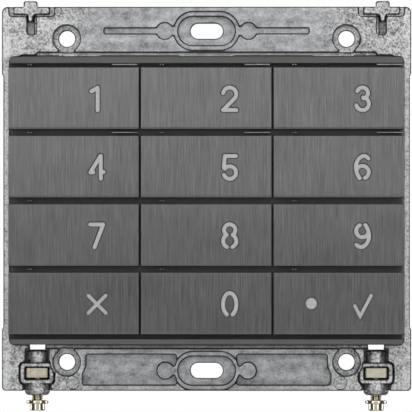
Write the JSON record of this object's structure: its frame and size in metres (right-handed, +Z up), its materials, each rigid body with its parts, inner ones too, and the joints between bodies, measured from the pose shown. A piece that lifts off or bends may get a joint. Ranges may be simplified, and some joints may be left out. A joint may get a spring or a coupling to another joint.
{
  "type": "keypad access reader",
  "caption": "Flush door-entry keypad module: brushed metal keys with stencil numerals in a cast mounting frame, with cover hooks and clamp screws.",
  "frame": {"origin": "middle of the four fixing holes, on the rear mounting plane of the frame", "axes": "+X right, +Z up, front faces -Y, rear housing towards +Y"},
  "size_m": [0.1064, 0.0241, 0.1065],
  "materials": {
    "zinc_casting": "as-cast grey zinc, fine satin grain",
    "brushed_key_metal": "dark grey metal, brushed vertically",
    "legend_plastic": "translucent light grey, satin",
    "bezel_plastic": "dark grey moulded plastic, fine texture",
    "carrier_plastic": "black moulded plastic",
    "silicone": "milky silicone rubber",
    "seal_rubber": "black rubber",
    "board_laminate": "green solder mask",
    "component_plastic": "black moulded epoxy",
    "led_resin": "white chip with clear resin",
    "capacitor_can": "bare aluminium can",
    "socket_plastic": "natural white nylon",
    "contact_metal": "gold-plated",
    "cover_plastic": "dark grey moulded plastic, fine texture",
    "plated_steel": "zinc-plated steel, slightly yellow",
    "spring_steel": "bare spring steel",
    "bright_screw": "nickel-plated steel"
  },
  "bodies": {
    "module": {"mounting_frame": "zinc_casting", "keypad_bezel": "bezel_plastic", "spring_clips": "spring_steel", "key_mat": "silicone", "circuit_board": "board_laminate", "key_leds": "led_resin", "controller_chip": "component_plastic", "buzzer": "component_plastic", "bulk_capacitor": "capacitor_can", "bus_inlet_socket": "socket_plastic", "bus_outlet_socket": "socket_plastic", "bus_contacts": "contact_metal", "rear_cover": "cover_plastic", "housing_seal": "seal_rubber", "rear_cover_screws": "plated_steel", "left_captive_nut": "plated_steel", "right_captive_nut": "plated_steel"},
    "key_1": {"key_1_cap": "brushed_key_metal", "key_1_carrier": "carrier_plastic", "key_1_legend": "legend_plastic"},
    "key_2": {"key_2_cap": "brushed_key_metal", "key_2_carrier": "carrier_plastic", "key_2_legend": "legend_plastic"},
    "key_3": {"key_3_cap": "brushed_key_metal", "key_3_carrier": "carrier_plastic", "key_3_legend": "legend_plastic"},
    "key_4": {"key_4_cap": "brushed_key_metal", "key_4_carrier": "carrier_plastic", "key_4_legend": "legend_plastic"},
    "key_5": {"key_5_cap": "brushed_key_metal", "key_5_carrier": "carrier_plastic", "key_5_legend": "legend_plastic"},
    "key_6": {"key_6_cap": "brushed_key_metal", "key_6_carrier": "carrier_plastic", "key_6_legend": "legend_plastic"},
    "key_7": {"key_7_cap": "brushed_key_metal", "key_7_carrier": "carrier_plastic", "key_7_legend": "legend_plastic"},
    "key_8": {"key_8_cap": "brushed_key_metal", "key_8_carrier": "carrier_plastic", "key_8_legend": "legend_plastic"},
    "key_9": {"key_9_cap": "brushed_key_metal", "key_9_carrier": "carrier_plastic", "key_9_legend": "legend_plastic"},
    "key_clear": {"key_clear_cap": "brushed_key_metal", "key_clear_carrier": "carrier_plastic", "key_clear_legend": "legend_plastic"},
    "key_0": {"key_0_cap": "brushed_key_metal", "key_0_carrier": "carrier_plastic", "key_0_legend": "legend_plastic"},
    "key_enter": {"key_enter_cap": "brushed_key_metal", "key_enter_carrier": "carrier_plastic", "key_enter_legend": "legend_plastic", "status_lens": "legend_plastic"},
    "left_clamp_washer": {"left_clamp_washer": "bright_screw"},
    "left_clamp_screw": {"left_clamp_screw": "bright_screw"},
    "right_clamp_washer": {"right_clamp_washer": "bright_screw"},
    "right_clamp_screw": {"right_clamp_screw": "bright_screw"}
  },
  "joints": [
    {"name": "key_1_press", "type": "slide", "parent": "module", "child": "key_1", "axis": [0, 1, 0], "range_m": [0, 0.0009], "stiffness_N_per_m": 800, "springref_m": -0.001, "deforming": ["key_mat"]},
    {"name": "key_2_press", "type": "slide", "parent": "module", "child": "key_2", "axis": [0, 1, 0], "range_m": [0, 0.0009], "stiffness_N_per_m": 800, "springref_m": -0.001, "deforming": ["key_mat"]},
    {"name": "key_3_press", "type": "slide", "parent": "module", "child": "key_3", "axis": [0, 1, 0], "range_m": [0, 0.0009], "stiffness_N_per_m": 800, "springref_m": -0.001, "deforming": ["key_mat"]},
    {"name": "key_4_press", "type": "slide", "parent": "module", "child": "key_4", "axis": [0, 1, 0], "range_m": [0, 0.0009], "stiffness_N_per_m": 800, "springref_m": -0.001, "deforming": ["key_mat"]},
    {"name": "key_5_press", "type": "slide", "parent": "module", "child": "key_5", "axis": [0, 1, 0], "range_m": [0, 0.0009], "stiffness_N_per_m": 800, "springref_m": -0.001, "deforming": ["key_mat"]},
    {"name": "key_6_press", "type": "slide", "parent": "module", "child": "key_6", "axis": [0, 1, 0], "range_m": [0, 0.0009], "stiffness_N_per_m": 800, "springref_m": -0.001, "deforming": ["key_mat"]},
    {"name": "key_7_press", "type": "slide", "parent": "module", "child": "key_7", "axis": [0, 1, 0], "range_m": [0, 0.0009], "stiffness_N_per_m": 800, "springref_m": -0.001, "deforming": ["key_mat"]},
    {"name": "key_8_press", "type": "slide", "parent": "module", "child": "key_8", "axis": [0, 1, 0], "range_m": [0, 0.0009], "stiffness_N_per_m": 800, "springref_m": -0.001, "deforming": ["key_mat"]},
    {"name": "key_9_press", "type": "slide", "parent": "module", "child": "key_9", "axis": [0, 1, 0], "range_m": [0, 0.0009], "stiffness_N_per_m": 800, "springref_m": -0.001, "deforming": ["key_mat"]},
    {"name": "key_clear_press", "type": "slide", "parent": "module", "child": "key_clear", "axis": [0, 1, 0], "range_m": [0, 0.0009], "stiffness_N_per_m": 800, "springref_m": -0.001, "deforming": ["key_mat"]},
    {"name": "key_0_press", "type": "slide", "parent": "module", "child": "key_0", "axis": [0, 1, 0], "range_m": [0, 0.0009], "stiffness_N_per_m": 800, "springref_m": -0.001, "deforming": ["key_mat"]},
    {"name": "key_enter_press", "type": "slide", "parent": "module", "child": "key_enter", "axis": [0, 1, 0], "range_m": [0, 0.0009], "stiffness_N_per_m": 800, "springref_m": -0.001, "deforming": ["key_mat"]},
    {"name": "left_clamp_travel", "type": "slide", "parent": "module", "child": "left_clamp_washer", "axis": [0, 0, 1], "range_m": [-0.0015, 0.00125]},
    {"name": "left_clamp_turn", "type": "hinge", "parent": "left_clamp_washer", "child": "left_clamp_screw", "pos_m": [-0.0441, -0.0034, -0.0538], "axis": [0, 0, 1], "range_deg": [-1085, 905]},
    {"name": "right_clamp_travel", "type": "slide", "parent": "module", "child": "right_clamp_washer", "axis": [0, 0, 1], "range_m": [-0.0015, 0.00125]},
    {"name": "right_clamp_turn", "type": "hinge", "parent": "right_clamp_washer", "child": "right_clamp_screw", "pos_m": [0.0441, -0.0034, -0.0538], "axis": [0, 0, 1], "range_deg": [-1085, 905]}
  ],
  "couplings": [
    {"joint": "left_clamp_turn", "follows": "left_clamp_travel", "rad_per_m": 12566},
    {"joint": "right_clamp_turn", "follows": "right_clamp_travel", "rad_per_m": 12566}
  ]
}
